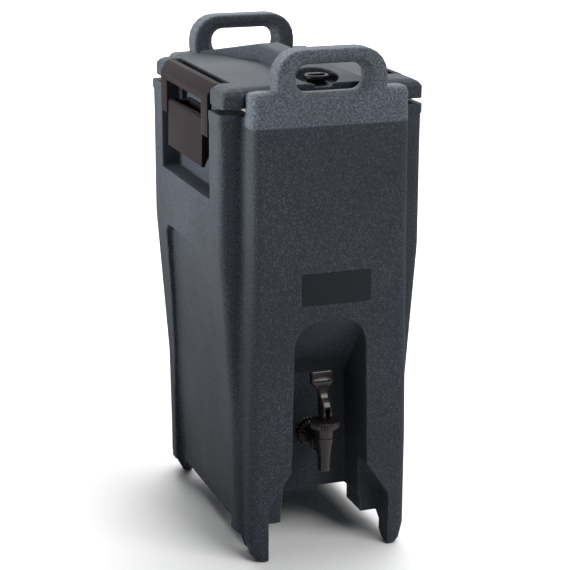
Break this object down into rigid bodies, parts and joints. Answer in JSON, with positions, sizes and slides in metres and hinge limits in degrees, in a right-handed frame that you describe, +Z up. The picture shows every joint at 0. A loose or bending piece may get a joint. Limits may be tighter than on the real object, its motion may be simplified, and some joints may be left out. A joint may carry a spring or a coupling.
{
  "type": "insulated beverage server",
  "caption": "Upright insulated drinks server: foam-filled tank on feet, lift-off lid held by side draw latches, moulded end handles and a self-closing faucet in a front alcove.",
  "frame": {"origin": "on the floor, under the centre of the body", "axes": "+Z up, -Y towards the faucet side, +X to the right of someone facing the faucet"},
  "size_m": [0.254, 0.346, 0.62],
  "materials": {
    "slate_shell": "slate blue-grey rotationally moulded polyethylene with a fine pebble grain",
    "slate_lid": "slate blue-grey moulded polyethylene, a little smoother than the body",
    "liner": "food-safe polyethylene, smooth satin",
    "foam": "rigid polyurethane foam",
    "latch_plastic": "dark brown-grey textured nylon",
    "vent_plastic": "dark brown moulded plastic, satin",
    "faucet_plastic": "near-black glossy plastic",
    "seal": "food-grade silicone",
    "steel": "stainless steel",
    "nameplate": "plain dark vinyl plate without text"
  },
  "bodies": {
    "body": {"outer_shell": "slate_shell", "inner_liner": "liner", "foam_insulation": "foam", "nameplate": "nameplate", "faucet_body": "faucet_plastic", "faucet_bonnet": "faucet_plastic", "faucet_spring": "steel", "shank_collar": "faucet_plastic", "shank_nut": "faucet_plastic", "shank_washer_inner": "seal", "shank_washer_outer": "seal", "latch_bracket_left": "latch_plastic", "latch_lever_pin_left": "steel", "latch_bracket_right": "latch_plastic", "latch_lever_pin_right": "steel", "latch_screw_left_1": "steel", "latch_screw_left_2": "steel", "latch_screw_left_3": "steel", "latch_screw_left_4": "steel", "latch_screw_right_1": "steel", "latch_screw_right_2": "steel", "latch_screw_right_3": "steel", "latch_screw_right_4": "steel"},
    "lid": {"lid_shell": "slate_lid", "lid_foam": "foam", "lid_pan": "slate_lid", "lid_gasket": "seal", "vent_bushing": "slate_lid", "vent_seal": "seal"},
    "vent": {"vent_cap": "vent_plastic"},
    "lever_left": {"latch_lever_left": "latch_plastic"},
    "lever_right": {"latch_lever_right": "latch_plastic"},
    "hook_left": {"latch_hook_left": "latch_plastic", "latch_hook_pin_left": "steel"},
    "hook_right": {"latch_hook_right": "latch_plastic", "latch_hook_pin_right": "steel"},
    "stem": {"faucet_stem": "steel", "faucet_seat_cup": "seal", "faucet_lever_pin": "steel"},
    "faucet_handle": {"faucet_lever": "faucet_plastic"}
  },
  "joints": [
    {"name": "lid_lift", "type": "slide", "parent": "body", "child": "lid", "axis": [0, 0, 1], "range_m": [0, 0.2]},
    {"name": "vent_cap_turn", "type": "hinge", "parent": "lid", "child": "vent", "pos_m": [0, -0.118, 0.5736], "axis": [0, 0, 1], "range_deg": [0, 180]},
    {"name": "latch_lever_left", "type": "hinge", "parent": "body", "child": "lever_left", "pos_m": [-0.113, 0, 0.524], "axis": [0, 1, 0], "range_deg": [0, 100]},
    {"name": "latch_hook_left", "type": "hinge", "parent": "lever_left", "child": "hook_left", "pos_m": [-0.1115, 0, 0.514], "axis": [0, 1, 0], "range_deg": [-120, 0]},
    {"name": "latch_lever_right", "type": "hinge", "parent": "body", "child": "lever_right", "pos_m": [0.113, 0, 0.524], "axis": [0, -1, 0], "range_deg": [0, 100]},
    {"name": "latch_hook_right", "type": "hinge", "parent": "lever_right", "child": "hook_right", "pos_m": [0.1115, 0, 0.514], "axis": [0, -1, 0], "range_deg": [-120, 0]},
    {"name": "faucet_stem_lift", "type": "slide", "parent": "body", "child": "stem", "axis": [0, 0, 1], "range_m": [0, 0.004], "stiffness_N_per_m": 250, "springref_m": -0.01},
    {"name": "faucet_lever_pull", "type": "hinge", "parent": "stem", "child": "faucet_handle", "pos_m": [0, -0.155, 0.181], "axis": [1, 0, 0], "range_deg": [0, 55]}
  ],
  "couplings": [
    {"joint": "latch_hook_left", "follows": "latch_lever_left", "ratio": -1.2},
    {"joint": "latch_hook_right", "follows": "latch_lever_right", "ratio": -1.2},
    {"joint": "faucet_lever_pull", "follows": "faucet_stem_lift", "rad_per_m": 239}
  ]
}
